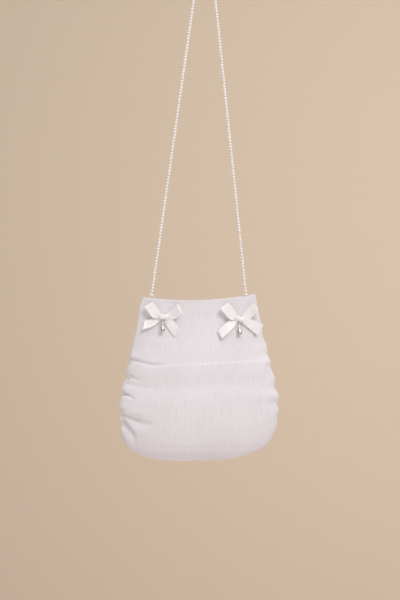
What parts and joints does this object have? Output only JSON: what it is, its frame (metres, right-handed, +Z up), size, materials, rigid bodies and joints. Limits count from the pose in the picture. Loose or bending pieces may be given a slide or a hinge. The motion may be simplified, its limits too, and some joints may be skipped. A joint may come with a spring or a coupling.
{
  "type": "pouch purse",
  "caption": "Small soft pouch purse in crinkle-pleated chiffon, gathered at both sides, hung from a string of pearls, with two satin bows that carry teardrop pendants",
  "frame": {"origin": "where the string of pearls lies over the peg that it hangs from: the top of the peg, under the middle of the string's bend", "axes": "+Z up, +X to the right seen from the front, front of the bag faces -Y"},
  "size_m": [0.174, 0.0362, 0.5339],
  "materials": {
    "chiffon": "off-white crinkle-pleated chiffon over a soft backing",
    "lining_satin": "off-white polyester satin lining",
    "ribbon_satin": "white double-faced satin ribbon",
    "tape": "white cotton tape",
    "thread": "white polyester thread",
    "pearl": "white pearl coating",
    "drop_pearl": "silvery grey pearl coating",
    "silver": "polished silver plating",
    "snap_metal": "plain nickel plating",
    "magnet": "dark ferrite"
  },
  "bodies": {
    "strap": {"pearl_strap": "pearl", "end_pearl_left": "pearl", "end_pearl_right": "pearl"},
    "bag": {"back_panel": "chiffon", "back_lining": "lining_satin", "gather_tape_left": "tape", "gather_tape_right": "tape", "strap_tab_left": "ribbon_satin", "strap_tab_right": "ribbon_satin", "anchor_thread_left": "thread", "anchor_thread_right": "thread", "snap_stud": "snap_metal", "snap_washer_back": "snap_metal"},
    "front": {"front_panel": "chiffon", "front_lining": "lining_satin", "snap_socket": "snap_metal", "snap_magnet": "magnet", "snap_washer_front": "snap_metal", "bow_left_loops": "ribbon_satin", "bow_left_tails": "ribbon_satin", "bow_left_knot": "ribbon_satin", "bow_right_loops": "ribbon_satin", "bow_right_tails": "ribbon_satin", "bow_right_knot": "ribbon_satin", "pendant_thread_left": "thread", "pendant_thread_right": "thread"},
    "left_ring": {"ring_left": "silver"},
    "left_drop": {"cap_left": "silver", "drop_left": "drop_pearl"},
    "right_ring": {"ring_right": "silver"},
    "right_drop": {"cap_right": "silver", "drop_right": "drop_pearl"}
  },
  "joints": [
    {"name": "strap_swing", "type": "hinge", "parent": "strap", "child": "bag", "pos_m": [-0.0065, 0, -0.3491], "axis": [1, 0, 0], "range_deg": [-90, 90]},
    {"name": "mouth_open", "type": "hinge", "parent": "bag", "child": "front", "pos_m": [-0.0065, 0, -0.53087], "axis": [1, 0, 0], "range_deg": [0, 9]},
    {"name": "left_ring_tilt", "type": "hinge", "parent": "front", "child": "left_ring", "pos_m": [-0.047, -0.01085, -0.37532], "axis": [-1, 0, 0], "range_deg": [0, 80]},
    {"name": "left_drop_swing", "type": "hinge", "parent": "left_ring", "child": "left_drop", "pos_m": [-0.047, -0.01085, -0.37682], "axis": [0, 1, 0], "range_deg": [-35, 35]},
    {"name": "right_ring_tilt", "type": "hinge", "parent": "front", "child": "right_ring", "pos_m": [0.0375, -0.0109, -0.37895], "axis": [-1, 0, 0], "range_deg": [0, 80]},
    {"name": "right_drop_swing", "type": "hinge", "parent": "right_ring", "child": "right_drop", "pos_m": [0.0375, -0.0109, -0.38045], "axis": [0, 1, 0], "range_deg": [-35, 35]}
  ]
}
